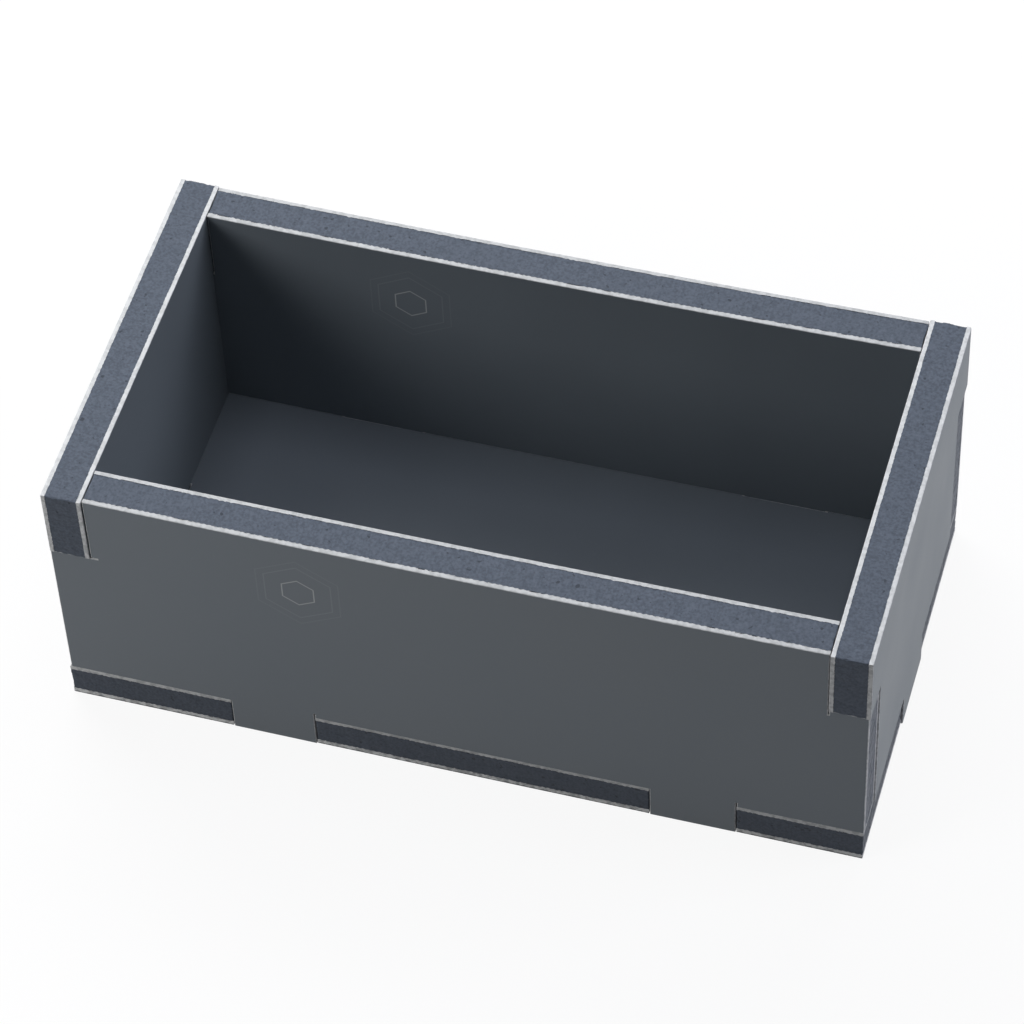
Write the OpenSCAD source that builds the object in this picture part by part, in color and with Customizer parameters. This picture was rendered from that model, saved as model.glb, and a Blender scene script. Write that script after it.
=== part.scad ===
// Open component tray from a board game organizer insert.
// Five panels of grey foam board stand on and lock into each other with glued finger joints.
// Every panel is a laminate: a foam core between two paper liners.
// The origin is at the middle of the tray's underside, the front faces -Y and +Z is up.

/* [Tray] */
// Outside length, from the base's left edge to the right end wall's outer face
tray_length = 97.2; // [80:0.1:160]
// Outside depth, over the tips of the rim fingers
tray_depth = 50.6; // [36:0.2:90]
// Height from the table to the rim
tray_height = 37.75; // [26:0.05:60]

/* [Foam board] */
// Thickness of the foam board, liners included
board_t = 4.85; // [3:0.05:8]
// Thickness of each paper liner
liner_t = 0.5; // [0.2:0.05:0.8]
// Thickness of the stouter paper liner under the base
under_liner_t = 0.75; // [0.2:0.05:1]

/* [Finger joints] */
// Height of the rim fingers, with which the end walls reach over the long walls
rim_finger_h = 10.3; // [5:0.1:16]
// Width of each foot of the front and back walls
wall_foot_w = 10.3; // [5:0.1:14]
// Distance from the tray's left end to the left foot of each long wall
left_foot_in = 20.3; // [12:0.1:26]
// Distance from the tray's right end to the right foot of each long wall
right_foot_in = 15.4; // [12:0.1:26]
// Width of the foot in the middle of each end wall
end_foot_w = 10; // [5:0.1:14]

/* [Fits] */
// Gap between a finger or foot and each side of its notch
joint_gap = 0.1; // [0.05:0.05:0.4]
// How far the base sits to the left of the end walls
base_slip = 0.25; // [0:0.05:0.8]
// How far the long walls' ends stop short of the tray's outline
wall_end_setback = 0.2; // [0:0.05:0.8]
// How far the long walls' outer faces lie behind the tips of the rim fingers
wall_face_setback = 0.2; // [0:0.05:0.8]
// How far the base's long edges lie behind the tips of the rim fingers
base_face_setback = 0.2; // [0:0.05:0.8]

/* [Cut marks] */
// Width of the slit where a cut runs on past an inside corner
slit_w = 0.15; // [0.1:0.05:0.4]
// Length of the slit where a cut runs on past an inside corner
slit_l = 0.8; // [0.5:0.1:2]

/* [Hidden] */

liner_grey = "#676e74";
foam_grey = "#535b67";

half_length = tray_length / 2;
half_depth = tray_depth / 2;
base_t = board_t - liner_t + under_liner_t;
wall_h = tray_height - base_t;

// The base plate, and how far the notches for the walls' feet reach in from the walls' outlines
base_l = tray_length - base_slip;
base_d = tray_depth - 2 * base_face_setback;
end_notch_depth = board_t + joint_gap;
long_notch_depth = wall_face_setback + board_t + joint_gap;

// Where the notches for the end walls end, towards the tray's middle
left_notch_side = base_slip + end_notch_depth - half_length;
right_notch_side = half_length - end_notch_depth;

// The front and back walls, with a foot in from each end and a notch for a rim finger at each top corner
long_wall_l = tray_length - 2 * wall_end_setback;
foot_starts = [left_foot_in - half_length, half_length - right_foot_in - wall_foot_w];
rim_notch_floor = tray_height - rim_finger_h;

// The end walls, between the long walls below the rim fingers and over them above
end_wall_d = tray_depth - 2 * (wall_face_setback + board_t);
finger_underside = rim_notch_floor + joint_gap;

// Where a layer of the board starts, measured inwards from the board's outer face
function layer_start(layer) = layer == "outer" ? 0 : layer == "core" ? liner_t : board_t - liner_t;

// How thick that layer is
function layer_t(layer) = layer == "core" ? board_t - 2 * liner_t : liner_t;

// Outline of the base, seen from above: a notch for every foot that reaches down to the table
module base_outline() {
    difference() {
        translate([-base_slip / 2, 0])
            square([base_l, base_d], center = true);
        for (side = [0, 1])
            mirror([0, side])
                for (x = foot_starts)
                    translate([x - joint_gap, -half_depth])
                        square([wall_foot_w + 2 * joint_gap, long_notch_depth]);
        for (x = [left_notch_side - tray_length, right_notch_side])
            translate([x, -end_foot_w / 2 - joint_gap])
                square([tray_length, end_foot_w + 2 * joint_gap]);
    }
}

// Outline of a long wall, seen from the front: plate, feet and a rim notch at each top corner
module long_wall_outline() {
    difference() {
        union() {
            translate([-long_wall_l / 2, base_t])
                square([long_wall_l, wall_h]);
            for (x = foot_starts)
                translate([x, 0])
                    square([wall_foot_w, tray_height / 2]);
        }
        for (x = [left_notch_side - tray_length, right_notch_side])
            translate([x, rim_notch_floor])
                square([tray_length, rim_finger_h + board_t]);
    }
}

// Slits in a long wall's outer liner, where the blade ran on past the inside corners of feet and notches
module blade_slits() {
    for (x = foot_starts)
        translate([x + wall_foot_w, base_t - slit_w])
            square([slit_w, slit_l + slit_w]);
    translate([left_notch_side - slit_w, rim_notch_floor])
        square([slit_l + slit_w, slit_w]);
    translate([right_notch_side, rim_notch_floor - slit_l])
        square([slit_w, slit_l + slit_w]);
}

// Outline of an end wall, seen from the tray's right: plate, rim fingers to front and back, middle foot
module end_wall_outline() {
    translate([-end_wall_d / 2, base_t])
        square([end_wall_d, wall_h]);
    translate([-half_depth, finger_underside])
        square([tray_depth, tray_height - finger_underside]);
    translate([-end_foot_w / 2, 0])
        square([end_foot_w, tray_height / 2]);
}

// One layer of the base, from its underside up
module base_layer(start, t) {
    translate([0, 0, start])
        linear_extrude(t)
            base_outline();
}

// One layer of each wall, in its place in the tray
module front_layer(layer) {
    translate([0, wall_face_setback + layer_start(layer) + layer_t(layer) - half_depth, 0])
        rotate([90, 0, 0])
            linear_extrude(layer_t(layer))
                difference() {
                    long_wall_outline();
                    if (layer == "outer")
                        blade_slits();
                }
}

module back_layer(layer) {
    mirror([0, 1, 0])
        front_layer(layer);
}

module right_layer(layer) {
    translate([half_length - layer_start(layer) - layer_t(layer), 0, 0])
        rotate([90, 0, 90])
            linear_extrude(layer_t(layer))
                end_wall_outline();
}

module left_layer(layer) {
    translate([base_slip, 0, 0])
        mirror([1, 0, 0])
            right_layer(layer);
}

// Base: its edges show between the feet of all four walls
module base_bottom_liner() { color(liner_grey) base_layer(0, under_liner_t); }
module base_foam_core() { color(foam_grey) base_layer(under_liner_t, layer_t("core")); }
module base_top_liner() { color(liner_grey) base_layer(base_t - liner_t, liner_t); }

// Front wall: stands on the base, with its feet in the base's front notches
module front_wall_outer_liner() { color(liner_grey) front_layer("outer"); }
module front_wall_foam_core() { color(foam_grey) front_layer("core"); }
module front_wall_inner_liner() { color(liner_grey) front_layer("inner"); }

// Back wall: the front wall's twin, turned to face the back
module back_wall_outer_liner() { color(liner_grey) back_layer("outer"); }
module back_wall_foam_core() { color(foam_grey) back_layer("core"); }
module back_wall_inner_liner() { color(liner_grey) back_layer("inner"); }

// Left end wall: glued between the long walls, its fingers lying in their rim notches
module left_wall_outer_liner() { color(liner_grey) left_layer("outer"); }
module left_wall_foam_core() { color(foam_grey) left_layer("core"); }
module left_wall_inner_liner() { color(liner_grey) left_layer("inner"); }

// Right end wall: the left end wall's mirror image
module right_wall_outer_liner() { color(liner_grey) right_layer("outer"); }
module right_wall_foam_core() { color(foam_grey) right_layer("core"); }
module right_wall_inner_liner() { color(liner_grey) right_layer("inner"); }

base_bottom_liner();
base_foam_core();
base_top_liner();
front_wall_outer_liner();
front_wall_foam_core();
front_wall_inner_liner();
back_wall_outer_liner();
back_wall_foam_core();
back_wall_inner_liner();
left_wall_outer_liner();
left_wall_foam_core();
left_wall_inner_liner();
right_wall_outer_liner();
right_wall_foam_core();
right_wall_inner_liner();
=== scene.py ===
# Open tray of a board game organizer: five knife-cut foam boards, glued with finger joints.
# Every board is a laminate of three layers, and each layer is a piece of its own.
import math

import bpy
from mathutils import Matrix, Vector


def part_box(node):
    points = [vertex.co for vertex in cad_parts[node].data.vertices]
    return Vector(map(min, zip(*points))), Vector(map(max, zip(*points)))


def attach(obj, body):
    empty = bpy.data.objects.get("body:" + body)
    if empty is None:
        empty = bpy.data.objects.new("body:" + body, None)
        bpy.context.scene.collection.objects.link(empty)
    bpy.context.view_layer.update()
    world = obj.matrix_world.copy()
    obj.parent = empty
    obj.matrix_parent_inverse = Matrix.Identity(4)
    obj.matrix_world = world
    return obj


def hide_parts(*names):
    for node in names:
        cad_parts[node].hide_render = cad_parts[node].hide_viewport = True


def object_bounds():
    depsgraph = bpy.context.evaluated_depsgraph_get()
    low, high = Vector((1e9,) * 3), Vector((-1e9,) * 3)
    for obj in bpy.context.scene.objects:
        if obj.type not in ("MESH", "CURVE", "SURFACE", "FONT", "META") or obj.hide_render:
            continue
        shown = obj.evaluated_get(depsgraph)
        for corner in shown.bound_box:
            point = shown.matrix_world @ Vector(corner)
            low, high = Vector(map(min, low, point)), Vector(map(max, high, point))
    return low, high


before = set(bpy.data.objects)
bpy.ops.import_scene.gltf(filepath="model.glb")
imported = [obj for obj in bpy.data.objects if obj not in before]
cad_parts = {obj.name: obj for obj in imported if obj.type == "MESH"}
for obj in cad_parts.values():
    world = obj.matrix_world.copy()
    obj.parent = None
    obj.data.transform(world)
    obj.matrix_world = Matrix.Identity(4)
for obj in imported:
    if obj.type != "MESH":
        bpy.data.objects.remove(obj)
solid_low, solid_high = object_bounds()


# Base board, foam core
# The base is a plate of foam board with a notch for every foot of the walls.
# Its core is stiff blue-grey foam, and the blade leaves its cut edges finely pitted and a little hollow.
FOAM_CORNER = 0.00012
FOAM_STEP = 0.00022
FOAM_ROWS = 17
FOAM_RAGGED = 0.00016
FOAM_PIT = 0.0001
ROW_WEAR = 0.45
ARRIS_WEAR = 1.0
FOAM_SHADE = (0.073, 0.088, 0.115, 1)
FOAM_PALE = (0.093, 0.111, 0.144, 1)
DRAG_SHADE = (0.063, 0.077, 0.101, 1)
DRAG_PALE = (0.103, 0.123, 0.158, 1)
SPECK_SHADE = (0.045, 0.056, 0.074, 1)
SPECK_PALE = (0.121, 0.144, 0.185, 1)
OPEN_CELL = (0.038, 0.046, 0.061, 1)
# Near black, for the painted shade on cut foam that doesn't look up.
FOAM_PAINTED_SHADE = (0.01, 0.01, 0.012, 1)
# Share of painted shade on the base's cut foam.
BASE_FOAM_SHADE = 0.38
ON_LINE = 1e-7
OFF_SOLID = 1e-5


def pick_edges(piece, wanted):
    """Goes into edit mode with just those edges selected for whose two ends wanted() holds."""
    bpy.ops.object.mode_set(mode="EDIT")
    bpy.ops.mesh.select_mode(type="EDGE")
    bpy.ops.mesh.select_all(action="DESELECT")
    bpy.ops.object.mode_set(mode="OBJECT")
    points = piece.data.vertices
    picked = 0
    for edge in piece.data.edges:
        start, end = edge.vertices
        edge.select = wanted(points[start].co, points[end].co)
        picked += edge.select
    bpy.ops.object.mode_set(mode="EDIT")
    return picked


def cut_layer(name, node, thin, corner, step):
    """Cuts one layer of a board from a flat blank: knife lines, offcuts away, then its thickness.

    A corner of 0 leaves the outline's corners as sharp as the blade cuts them.
    """
    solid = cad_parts[node]
    low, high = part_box(node)
    size = high - low
    place = (low + high) / 2
    place[thin] = low[thin]
    turns = ((0, math.pi / 2, 0), (math.pi / 2, 0, 0), (0, 0, 0))
    blanks = ((size.z, size.y, 1), (size.x, size.z, 1), (size.x, size.y, 1))
    bpy.ops.object.select_all(action="DESELECT")
    bpy.ops.mesh.primitive_plane_add(size=1, location=place, rotation=turns[thin])
    layer = bpy.context.active_object
    layer.name = name
    layer.data.name = name
    layer.scale = blanks[thin]
    bpy.ops.object.transform_apply(location=True, rotation=True, scale=True)

    bpy.ops.object.mode_set(mode="EDIT")
    bpy.ops.mesh.select_mode(type="FACE")
    for axis in (0, 1, 2):
        if axis == thin:
            continue
        lines = sorted({round(point.co[axis], 6) for point in solid.data.vertices})
        for line in lines[1:-1]:
            across = [0.0, 0.0, 0.0]
            across[axis] = 1.0
            bpy.ops.mesh.select_all(action="SELECT")
            bpy.ops.mesh.bisect(plane_co=[line * part for part in across], plane_no=across)
    bpy.ops.mesh.select_all(action="DESELECT")
    bpy.ops.object.mode_set(mode="OBJECT")
    for face in layer.data.polygons:
        nearest = solid.closest_point_on_mesh(face.center)[1]
        face.select = (nearest - face.center).length > OFF_SOLID
    bpy.ops.object.mode_set(mode="EDIT")
    bpy.ops.mesh.delete(type="FACE")
    bpy.ops.mesh.select_all(action="SELECT")
    bpy.ops.mesh.dissolve_limited(angle_limit=math.radians(1))
    bpy.ops.mesh.select_all(action="SELECT")
    rise = [0.0, 0.0, 0.0]
    rise[thin] = size[thin]
    bpy.ops.mesh.extrude_region_move(TRANSFORM_OT_translate={"value": rise})
    bpy.ops.mesh.select_all(action="SELECT")
    bpy.ops.mesh.normals_make_consistent(inside=False)

    if corner:
        pick_edges(layer, lambda start, end: abs(end[thin] - start[thin]) > size[thin] / 2)
        bpy.ops.mesh.bevel(offset=corner, segments=3, affect="EDGES", clamp_overlap=True)
    while pick_edges(
        layer,
        lambda start, end: abs(end[thin] - start[thin]) < ON_LINE and (end - start).length > step,
    ):
        bpy.ops.mesh.subdivide(number_cuts=1)
    bpy.ops.object.mode_set(mode="OBJECT")
    return layer


def pit_foam(core, node, thin):
    """Splits a core's cut edges into fine rows and wears them back, never out, by two sizes of pits."""
    low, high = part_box(node)
    depth = high[thin] - low[thin]
    pick_edges(core, lambda start, end: abs(end[thin] - start[thin]) > depth / 2)
    bpy.ops.mesh.subdivide(number_cuts=FOAM_ROWS)
    bpy.ops.object.mode_set(mode="OBJECT")
    cut_rows = core.vertex_groups.new(name="cut_rows")
    inner = [
        point.index
        for point in core.data.vertices
        if low[thin] + OFF_SOLID < point.co[thin] < high[thin] - OFF_SOLID
    ]
    cut_rows.add(inner, ROW_WEAR, "REPLACE")
    # An arris looks along no axis, and one that looks down is out of harm's way.
    arrises = []
    for index in inner:
        looks = core.data.vertices[index].normal
        if max(map(abs, looks)) < 0.97 and looks.z > -0.3:
            arrises.append(index)
    cut_rows.add(arrises, ARRIS_WEAR, "REPLACE")
    for label, grain, level, reach in (
        ("ragged", 0.0012, 1.3, FOAM_RAGGED),
        ("pits", 0.0004, 1.5, FOAM_PIT),
    ):
        texture = bpy.data.textures.new(f"{core.name}_{label}", "CLOUDS")
        texture.noise_scale = grain
        texture.contrast = 2.4
        texture.intensity = level
        wear = core.modifiers.new(label, "DISPLACE")
        wear.texture = texture
        wear.texture_coords = "LOCAL"
        wear.mid_level = 1.0
        wear.strength = reach
        wear.vertex_group = cut_rows.name
        bpy.ops.object.modifier_apply(modifier=label)
    for point in core.data.vertices:
        for axis in (0, 1, 2):
            point.co[axis] = min(max(point.co[axis], low[axis]), high[axis])
    bpy.ops.object.shade_smooth_by_angle(angle=math.radians(40))


def add_node(tree, kind, settings=None, **inputs):
    """Adds a shader node, makes its settings, and sets or links its inputs.

    An input goes by its name, with _ for a space, or by its place, as _0 for the first.
    """
    made = tree.nodes.new(kind)
    for name, value in (settings or {}).items():
        setattr(made, name, value)
    for name, value in inputs.items():
        socket = made.inputs[int(name[1:])] if name[0] == "_" else made.inputs[name.replace("_", " ")]
        if isinstance(value, bpy.types.NodeSocket):
            tree.links.new(value, socket)
        else:
            socket.default_value = value
    return made


def new_material(name):
    """Returns an empty material's node tree, its Principled shader and its Object coordinates."""
    material = bpy.data.materials.new(name)
    material.use_nodes = True
    tree = material.node_tree
    shader = tree.nodes["Principled BSDF"]
    place = add_node(tree, "ShaderNodeTexCoord").outputs["Object"]
    return material, tree, shader, place


def ramp(tree, value, start, end):
    """Fades a value from 0 at start to 1 at end."""
    faded = add_node(
        tree,
        "ShaderNodeMapRange",
        {"interpolation_type": "SMOOTHSTEP"},
        Value=value,
        From_Min=start,
        From_Max=end,
    )
    return faded.outputs["Result"]


def blend(tree, share, first, second):
    """Mixes two colours by a mask."""
    mixed = add_node(tree, "ShaderNodeMix", {"data_type": "RGBA"}, _0=share, _6=first, _7=second)
    return mixed.outputs[2]


def cut_foam(name, thin, shade_share):
    """Makes the colour of cut foam: soft clouding, the blade's drag marks, a few open cells, and a share of
    painted shade.
    """
    material, tree, shader, place = new_material(name)
    drag = [3600.0, 3600.0, 3600.0]
    drag[thin] = 300.0
    dragged = add_node(tree, "ShaderNodeVectorMath", {"operation": "MULTIPLY"}, _0=place, _1=drag)
    marks = add_node(tree, "ShaderNodeTexNoise", Vector=dragged.outputs[0], Scale=1.0, Detail=1.0)
    cloud = add_node(tree, "ShaderNodeTexNoise", Vector=place, Scale=300.0, Detail=2.0)
    grain = add_node(tree, "ShaderNodeTexNoise", Vector=place, Scale=3300.0, Detail=2.0)
    cells = add_node(tree, "ShaderNodeTexNoise", Vector=place, Scale=1300.0, Detail=1.0)
    open_cell = ramp(tree, cells.outputs["Fac"], 0.69, 0.75)
    grit = ramp(tree, grain.outputs["Fac"], 0.25, 0.75)
    streak = ramp(tree, marks.outputs["Fac"], 0.25, 0.75)
    tone = blend(tree, cloud.outputs["Fac"], FOAM_SHADE, FOAM_PALE)
    worn = blend(tree, streak, DRAG_SHADE, DRAG_PALE)
    tone = blend(tree, 0.5, tone, worn)
    speck = blend(tree, grit, SPECK_SHADE, SPECK_PALE)
    tone = blend(tree, 0.5, tone, speck)
    tone = blend(tree, open_cell, tone, OPEN_CELL)
    # Painted shade: the foam's colour is darkened towards near black by the given share.
    tone = blend(tree, shade_share, tone, FOAM_PAINTED_SHADE)
    tree.links.new(tone, shader.inputs["Base Color"])
    sunk = add_node(
        tree,
        "ShaderNodeMath",
        {"operation": "SUBTRACT"},
        _0=grain.outputs["Fac"],
        _1=open_cell,
    )
    bump = add_node(tree, "ShaderNodeBump", Strength=0.4, Distance=0.00006, Height=sunk.outputs[0])
    tree.links.new(bump.outputs["Normal"], shader.inputs["Normal"])
    shader.inputs["Roughness"].default_value = 0.72
    shader.inputs["Specular IOR Level"].default_value = 0.25
    shader.inputs["Sheen Weight"].default_value = 0.4
    shader.inputs["Sheen Roughness"].default_value = 0.25
    return material


def paint_core(core, rim_foam, side_foam):
    """Gives a core plain foam on its faces that look up and foam with painted shade on all others."""
    core.data.materials.append(rim_foam)
    core.data.materials.append(side_foam)
    for face in core.data.polygons:
        face.material_index = 0 if face.normal.z > 0.5 else 1


# All of the base's cut foam gets painted shade, darker than the walls' rims.
base_foam = cut_foam("foam_base", 2, BASE_FOAM_SHADE)
base_core = cut_layer("base_core", "base_foam_core", 2, FOAM_CORNER, FOAM_STEP)
pit_foam(base_core, "base_foam_core", 2)
base_core.data.materials.append(base_foam)
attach(base_core, "root")
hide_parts("base_foam_core")


# Base board, paper liners
# Both faces of the base are covered with stout white paper, printed matt grey on its outside.
# The blade shears it clean, so its cut edges are thin white lines round every outline.
LINER_STEP = 0.00018
LINER_FRAY = 0.00004
LINER_ARRIS = 0.0001
BLADE_BEAT = 0.00067
BASE_BITE = 0.00009
PRINT_SHADE = (0.125, 0.143, 0.161, 1)
PRINT_PALE = (0.146, 0.167, 0.187, 1)
PRINT_FIBRE = (0.158, 0.182, 0.204, 1)
# Dark grey for the painted shade along the foot of the underside's cut edges.
PAPER_PAINTED_SHADE = (0.15, 0.155, 0.165, 1)
# Cut edges that don't look up get these darker tones as painted shade.
SIDE_TONES = (0.4, 0.405, 0.41, 1), (0.58, 0.585, 0.585, 1)
UNDER_TONES = (0.44, 0.445, 0.45, 1), (0.74, 0.745, 0.74, 1)
NO_SHADE_BAND = -0.001
UNDER_SHADE_BAND = 0.00025


def trim_liner(liner, node, core_node, thin, bite):
    """Rubs the arris of a liner's printed side and bites its other side into the foam at the blade's beat."""
    low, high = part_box(node)
    print_side, core_side, inward = low[thin], high[thin], 1
    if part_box(core_node)[0][thin] < low[thin]:
        print_side, core_side, inward = high[thin], low[thin], -1
    pick_edges(
        liner,
        lambda start, end: max(abs(start[thin] - print_side), abs(end[thin] - print_side)) < ON_LINE,
    )
    bpy.ops.mesh.bevel(offset=LINER_ARRIS, segments=2, affect="EDGES", clamp_overlap=False)
    bpy.ops.object.mode_set(mode="OBJECT")
    frays = bpy.data.textures.new(f"{liner.name}_frays", "CLOUDS")
    frays.noise_scale = 0.00045
    frays.contrast = 2.0
    for point in liner.data.vertices:
        if abs(point.co[thin] - core_side) < ON_LINE:
            along = sum(point.co) - point.co[thin]
            beat = 0.5 + 0.5 * math.sin(2 * math.pi * along / BLADE_BEAT)
            point.co[thin] += inward * (bite * beat + LINER_FRAY * frays.evaluate(point.co)[3])
    bpy.ops.object.shade_smooth_by_angle(angle=math.radians(15))


def paint_liner(liner, thin, face_paper, rim_paper, side_paper):
    """Gives a liner its printed faces, white cut edges where they look up, and darker ones with painted shade
    elsewhere.
    """
    liner.data.materials.append(face_paper)
    liner.data.materials.append(rim_paper)
    liner.data.materials.append(side_paper)
    for face in liner.data.polygons:
        if abs(face.normal[thin]) > 0.98:
            face.material_index = 0
        elif face.normal.z > 0.5:
            face.material_index = 1
        else:
            face.material_index = 2


fibre = bpy.data.node_groups.new("paper_fibre", "ShaderNodeTree")
fibre.interface.new_socket("Vector", in_out="INPUT", socket_type="NodeSocketVector")
fibre.interface.new_socket("Fibres", in_out="OUTPUT", socket_type="NodeSocketFloat")
fibre.interface.new_socket("Clouding", in_out="OUTPUT", socket_type="NodeSocketFloat")
fibre_in = fibre.nodes.new("NodeGroupInput").outputs["Vector"]
fibre_out = fibre.nodes.new("NodeGroupOutput")
threads = add_node(fibre, "ShaderNodeTexNoise", Vector=fibre_in, Scale=3600.0, Detail=4.0, Roughness=0.6)
patches = add_node(fibre, "ShaderNodeTexNoise", Vector=fibre_in, Scale=60.0, Detail=3.0)
fibre.links.new(threads.outputs["Fac"], fibre_out.inputs["Fibres"])
fibre.links.new(patches.outputs["Fac"], fibre_out.inputs["Clouding"])


def use_fibre(tree, place):
    """Places the paper fibre group in a material."""
    group = tree.nodes.new("ShaderNodeGroup")
    group.node_tree = fibre
    tree.links.new(place, group.inputs["Vector"])
    return group.outputs["Fibres"], group.outputs["Clouding"]


def printed_paper(name):
    """Makes the grey print of the liners' faces, and returns its colour for anything printed over it."""
    material, tree, shader, place = new_material(name)
    fibres, clouding = use_fibre(tree, place)
    tone = blend(tree, clouding, PRINT_SHADE, PRINT_PALE)
    tone = blend(tree, ramp(tree, fibres, 0.62, 0.8), tone, PRINT_FIBRE)
    rough = add_node(
        tree,
        "ShaderNodeMapRange",
        Value=clouding,
        From_Min=0.3,
        From_Max=0.7,
        To_Min=0.44,
        To_Max=0.52,
    )
    bump = add_node(tree, "ShaderNodeBump", Strength=0.12, Distance=0.00003, Height=fibres)
    tree.links.new(rough.outputs["Result"], shader.inputs["Roughness"])
    tree.links.new(bump.outputs["Normal"], shader.inputs["Normal"])
    shader.inputs["Specular IOR Level"].default_value = 0.26
    return material, tree, shader, place, tone


liner_grey, tree, shader, place, tone = printed_paper("liner_grey")
tree.links.new(tone, shader.inputs["Base Color"])


def cut_paper(name, tones, shade_band_to):
    """Makes the colour of a liner's cut edge between two tones, with painted shade below a height."""
    dark, light = tones
    material, tree, shader, place = new_material(name)
    fibres, clouding = use_fibre(tree, place)
    scuffs = add_node(tree, "ShaderNodeTexNoise", Vector=place, Scale=1500.0, Detail=2.0)
    tone = blend(tree, ramp(tree, scuffs.outputs["Fac"], 0.35, 0.6), dark, light)
    height = add_node(tree, "ShaderNodeSeparateXYZ", _0=place).outputs["Z"]
    ragged = add_node(
        tree,
        "ShaderNodeMath",
        {"operation": "MULTIPLY_ADD"},
        _0=scuffs.outputs["Fac"],
        _1=0.0004,
        _2=height,
    )
    # Painted shade: below the given height, with a ragged top, the cut edge turns dark grey.
    above_shade_band = ramp(tree, ragged.outputs[0], shade_band_to + 0.00015, shade_band_to + 0.00025)
    tone = blend(tree, above_shade_band, PAPER_PAINTED_SHADE, tone)
    tree.links.new(tone, shader.inputs["Base Color"])
    bump = add_node(tree, "ShaderNodeBump", Strength=0.3, Distance=0.00005, Height=fibres)
    tree.links.new(bump.outputs["Normal"], shader.inputs["Normal"])
    shader.inputs["Roughness"].default_value = 0.85
    shader.inputs["Specular IOR Level"].default_value = 0.3
    return material


# The liners' cut edges that don't look up carry painted shade in their darker tones.
side_paper = cut_paper("liner_cut_sides", SIDE_TONES, NO_SHADE_BAND)
# The base's underside gets a band of painted shade along the foot of its cut edges, where they meet the
# table.
under_paper = cut_paper("liner_cut_under", UNDER_TONES, UNDER_SHADE_BAND)

for name, node, edge_paper in (
    ("base_floor_paper", "base_top_liner", side_paper),
    ("base_under_paper", "base_bottom_liner", under_paper),
):
    liner = cut_layer(name, node, 2, 0.0, LINER_STEP)
    trim_liner(liner, node, "base_foam_core", 2, BASE_BITE)
    paint_liner(liner, 2, liner_grey, side_paper, edge_paper)
    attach(liner, "root")
    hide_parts(node)


# Front and back walls, foam cores
# The two long walls stand on the base, each with two feet down through it to the table.
# Their top corners are notched for the end walls' fingers, and both have warped a hair towards the front.
WARP_STRIP = 0.0045
FRONT_WARP = (0.0001, 0.0002)
BACK_WARP = (0.0002, 0.0004)
# Cut foam that looks up keeps its plain colour; cut foam on the walls' ends and fingers gets painted shade.
NO_FOAM_SHADE = 0.0
SIDE_FOAM_SHADE = 0.25


def warp_wall(piece, warp):
    """Bows a long wall's layer forwards between the end walls, by two amounts: at its foot and its rim."""
    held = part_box("right_wall_inner_liner")[0].x
    at_foot, at_rim = warp
    bpy.ops.object.mode_set(mode="EDIT")
    strips = int(held // WARP_STRIP)
    for strip in range(-strips, strips + 1):
        bpy.ops.mesh.select_all(action="SELECT")
        bpy.ops.mesh.bisect(plane_co=(strip * WARP_STRIP, 0, 0), plane_no=(1, 0, 0))
    bpy.ops.object.mode_set(mode="OBJECT")
    for point in piece.data.vertices:
        arch = max(0.0, 1 - (point.co.x / held) ** 2)
        height = point.co.z / solid_high.z
        point.co.y -= arch * (at_foot + (at_rim - at_foot) * height)


# The long walls' cut ends get painted shade, their rims none.
long_rim_foam = cut_foam("foam_long_rims", 1, NO_FOAM_SHADE)
long_side_foam = cut_foam("foam_long_ends", 1, SIDE_FOAM_SHADE)
for name, node, warp in (
    ("front_core", "front_wall_foam_core", FRONT_WARP),
    ("back_core", "back_wall_foam_core", BACK_WARP),
):
    core = cut_layer(name, node, 1, FOAM_CORNER, FOAM_STEP)
    pit_foam(core, node, 1)
    warp_wall(core, warp)
    paint_core(core, long_rim_foam, long_side_foam)
    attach(core, "root")
    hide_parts(node)


# Front and back walls, paper liners
# The long walls carry the same grey paper, with short slits where the blade ran on past a corner.
# A small hairline mark is printed on the front's outside and on the back's inside.
LONG_BITE = 0.0001
LONG_RIM_TONES = (0.5, 0.51, 0.51, 1), (0.61, 0.62, 0.62, 1)
MARK_SIZE = 0.0019
MARK_LINE = 0.00011
MARK_PALE = (0.52, 0.53, 0.52, 1)


def printed_mark(name, across, up):
    """Makes the grey print with a hairline hexagon and a fainter frame, centred at across and up."""
    material, tree, shader, place, tone = printed_paper(name)
    moved = add_node(
        tree,
        "ShaderNodeVectorMath",
        {"operation": "SUBTRACT"},
        _0=place,
        _1=(across, 0.0, up),
    )
    apart = add_node(tree, "ShaderNodeVectorMath", {"operation": "ABSOLUTE"}, _0=moved.outputs[0])
    parts = add_node(tree, "ShaderNodeSeparateXYZ", _0=apart.outputs[0])
    slant = add_node(tree, "ShaderNodeMath", {"operation": "MULTIPLY"}, _0=parts.outputs["X"], _1=0.5)
    slant = add_node(
        tree,
        "ShaderNodeMath",
        {"operation": "MULTIPLY_ADD"},
        _0=parts.outputs["Z"],
        _1=math.sqrt(0.75),
        _2=slant.outputs[0],
    )
    reach = add_node(
        tree,
        "ShaderNodeMath",
        {"operation": "MAXIMUM"},
        _0=parts.outputs["X"],
        _1=slant.outputs[0],
    )
    for size, strength in ((MARK_SIZE, 0.55), (MARK_SIZE * 2.1, 0.1), (MARK_SIZE * 2.6, 0.06)):
        off = add_node(tree, "ShaderNodeMath", {"operation": "SUBTRACT"}, _0=reach.outputs[0], _1=size)
        off = add_node(tree, "ShaderNodeMath", {"operation": "ABSOLUTE"}, _0=off.outputs[0])
        line = ramp(tree, off.outputs[0], MARK_LINE, MARK_LINE / 3)
        line = add_node(tree, "ShaderNodeMath", {"operation": "MULTIPLY"}, _0=line, _1=strength)
        tone = blend(tree, line.outputs[0], tone, MARK_PALE)
    tree.links.new(tone, shader.inputs["Base Color"])
    return material


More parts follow.
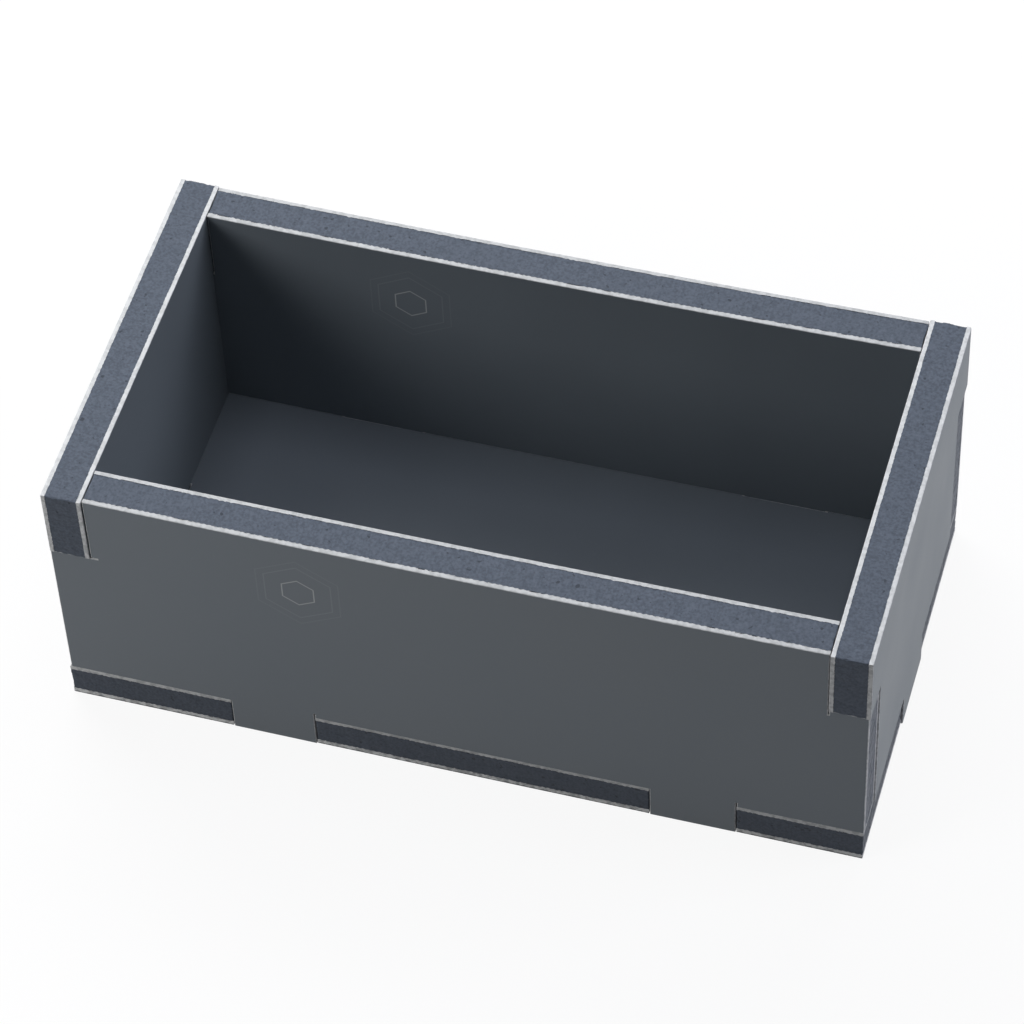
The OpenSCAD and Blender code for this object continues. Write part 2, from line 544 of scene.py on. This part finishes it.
long_rim_paper = cut_paper("liner_cut_long_rims", LONG_RIM_TONES, NO_SHADE_BAND)
front_print = printed_mark("liner_mark_front", -0.0182, 0.0292)
back_print = printed_mark("liner_mark_back", -0.0183, 0.0293)
for name, node, core_node, face_paper, warp in (
    ("front_outer_paper", "front_wall_outer_liner", "front_wall_foam_core", front_print, FRONT_WARP),
    ("front_inner_paper", "front_wall_inner_liner", "front_wall_foam_core", liner_grey, FRONT_WARP),
    ("back_outer_paper", "back_wall_outer_liner", "back_wall_foam_core", liner_grey, BACK_WARP),
    ("back_inner_paper", "back_wall_inner_liner", "back_wall_foam_core", back_print, BACK_WARP),
):
    liner = cut_layer(name, node, 1, 0.0, LINER_STEP)
    trim_liner(liner, node, core_node, 1, LONG_BITE)
    warp_wall(liner, warp)
    paint_liner(liner, 1, face_paper, long_rim_paper, side_paper)
    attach(liner, "root")
    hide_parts(node)


# End walls, foam cores
# The two end walls are glued between the long walls and stand in the base on one middle foot each.
# At the rim they reach over the long walls with a finger to the front and one to the back.
# The fingers' cut ends get painted shade, the rims none.
end_rim_foam = cut_foam("foam_end_rims", 0, NO_FOAM_SHADE)
end_side_foam = cut_foam("foam_finger_ends", 0, SIDE_FOAM_SHADE)
for name, node in (
    ("left_core", "left_wall_foam_core"),
    ("right_core", "right_wall_foam_core"),
):
    core = cut_layer(name, node, 0, FOAM_CORNER, FOAM_STEP)
    pit_foam(core, node, 0)
    paint_core(core, end_rim_foam, end_side_foam)
    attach(core, "root")
    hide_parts(node)


# End walls, paper liners
# The end walls carry the same grey paper on both faces.
# Their liners' white edges run along the rim and down the fingers' ends.
END_BITE = 0.00003
END_RIM_TONES = (0.6, 0.61, 0.61, 1), (0.71, 0.72, 0.72, 1)
end_rim_paper = cut_paper("liner_cut_end_rims", END_RIM_TONES, NO_SHADE_BAND)
for name, node, core_node in (
    ("left_outer_paper", "left_wall_outer_liner", "left_wall_foam_core"),
    ("left_inner_paper", "left_wall_inner_liner", "left_wall_foam_core"),
    ("right_outer_paper", "right_wall_outer_liner", "right_wall_foam_core"),
    ("right_inner_paper", "right_wall_inner_liner", "right_wall_foam_core"),
):
    liner = cut_layer(name, node, 0, 0.0, LINER_STEP)
    trim_liner(liner, node, core_node, 0, END_BITE)
    paint_liner(liner, 0, liner_grey, end_rim_paper, side_paper)
    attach(liner, "root")
    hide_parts(node)


# Table top
# The tray stands on a plain pale table, wide enough to fill every view.
# To the eye it is as white as the room behind it, apart from the tray's own soft shadow.
# Rays that carry light meet a middle grey, so the table sends only a little light back up.
TABLE_SIDE = 6.0
TABLE_DROP = 0.00002
TABLE_SHADE = (0.42, 0.42, 0.42, 1)
TABLE_PALE = (0.44, 0.44, 0.44, 1)
TABLE_SEEN = (0.98, 0.98, 0.98, 1)
TABLE_BLEACH = 0.9


def seen_directly(tree):
    """Tells the eye's rays, and those that a mirror or glass sends on, from the rays that carry light."""
    path = add_node(tree, "ShaderNodeLightPath")
    seen = add_node(
        tree,
        "ShaderNodeMath",
        {"operation": "MAXIMUM"},
        _0=path.outputs["Is Camera Ray"],
        _1=path.outputs["Is Glossy Ray"],
    )
    seen = add_node(
        tree,
        "ShaderNodeMath",
        {"operation": "MAXIMUM"},
        _0=seen.outputs[0],
        _1=path.outputs["Is Transmission Ray"],
    )
    return seen.outputs[0]


bpy.ops.object.select_all(action="DESELECT")
bpy.ops.mesh.primitive_plane_add(size=TABLE_SIDE, location=(0, 0, -TABLE_DROP))
table = bpy.context.active_object
table.name = "table_top"
bpy.ops.object.transform_apply(location=True, rotation=False, scale=False)
table_paint, tree, shader, place = new_material("table_pale")
paleness = add_node(tree, "ShaderNodeTexNoise", Vector=place, Scale=3.0)
tone = blend(tree, paleness.outputs["Fac"], TABLE_SHADE, TABLE_PALE)
seen = seen_directly(tree)
tone = blend(tree, seen, tone, TABLE_SEEN)
tree.links.new(tone, shader.inputs["Base Color"])
shader.inputs["Roughness"].default_value = 0.9
shader.inputs["Specular IOR Level"].default_value = 0.0
bleach = add_node(tree, "ShaderNodeMath", {"operation": "MULTIPLY"}, _0=seen, _1=TABLE_BLEACH)
glow = add_node(tree, "ShaderNodeEmission", Color=(1, 1, 1, 1), Strength=1.0)
bleached = add_node(
    tree,
    "ShaderNodeMixShader",
    _0=bleach.outputs[0],
    _1=shader.outputs[0],
    _2=glow.outputs[0],
)
tree.links.new(bleached.outputs[0], tree.nodes["Material Output"].inputs["Surface"])
table.data.materials.append(table_paint)


# Studio light
# A near window lights the tray from the front left, and two wider ones light its rim from behind.
# Cooler daylight comes in from the right and from the ceiling, and the white room fills in a little.
def soft_light(name, place, size, power, colour):
    """Hangs a square soft light at a place, turned to the tray."""
    bpy.ops.object.light_add(type="AREA", location=place)
    light = bpy.context.active_object
    light.name = name
    light.data.size = size
    light.data.energy = power
    light.data.color = colour
    light.rotation_euler = light.location.to_track_quat("Z", "Y").to_euler()


soft_light("front_left_window", (-0.184, -0.184, 0.15), 0.13, 0.3, (1, 1, 1))
soft_light("right_window", (0.394, 0.106, 0.19), 0.2, 0.85, (0.86, 0.89, 1))
soft_light("back_left_window", (-0.221, 0.221, 0.281), 0.26, 0.95, (1, 1, 1))
soft_light("back_window", (0, 0.372, 0.335), 0.31, 0.75, (1, 1, 1))
soft_light("ceiling_window", (0, 0, 0.8), 0.4, 1.5, (0.86, 0.89, 1))
world = bpy.data.worlds.new("white_room")
bpy.context.scene.world = world
world.use_nodes = True
tree = world.node_tree
room = tree.nodes["Background"]
room.inputs["Strength"].default_value = 0.02
room.inputs["Color"].default_value = (1, 1, 1, 1)
backdrop = add_node(tree, "ShaderNodeBackground", Color=(1, 1, 1, 1), Strength=1.0)
surroundings = add_node(
    tree,
    "ShaderNodeMixShader",
    _0=seen_directly(tree),
    _1=room.outputs[0],
    _2=backdrop.outputs[0],
)
tree.links.new(surroundings.outputs[0], tree.nodes["World Output"].inputs["Surface"])


# Camera
# It looks down on the front of the tray from a little to the right, through a long lens.
# Its place, turn and lens were fitted to the tray's corners and edges.
bpy.ops.object.camera_add(
    location=(0.10301, -0.313389, 0.428373),
    rotation=(math.radians(38.8316), math.radians(1.926), math.radians(15.8671)),
)
camera = bpy.context.active_object
camera.data.sensor_width = 36.0
camera.data.lens = 156.438
camera.data.clip_start = 0.01
camera.data.clip_end = 20.0
bpy.context.scene.camera = camera
bpy.context.scene.view_settings.view_transform = "Standard"
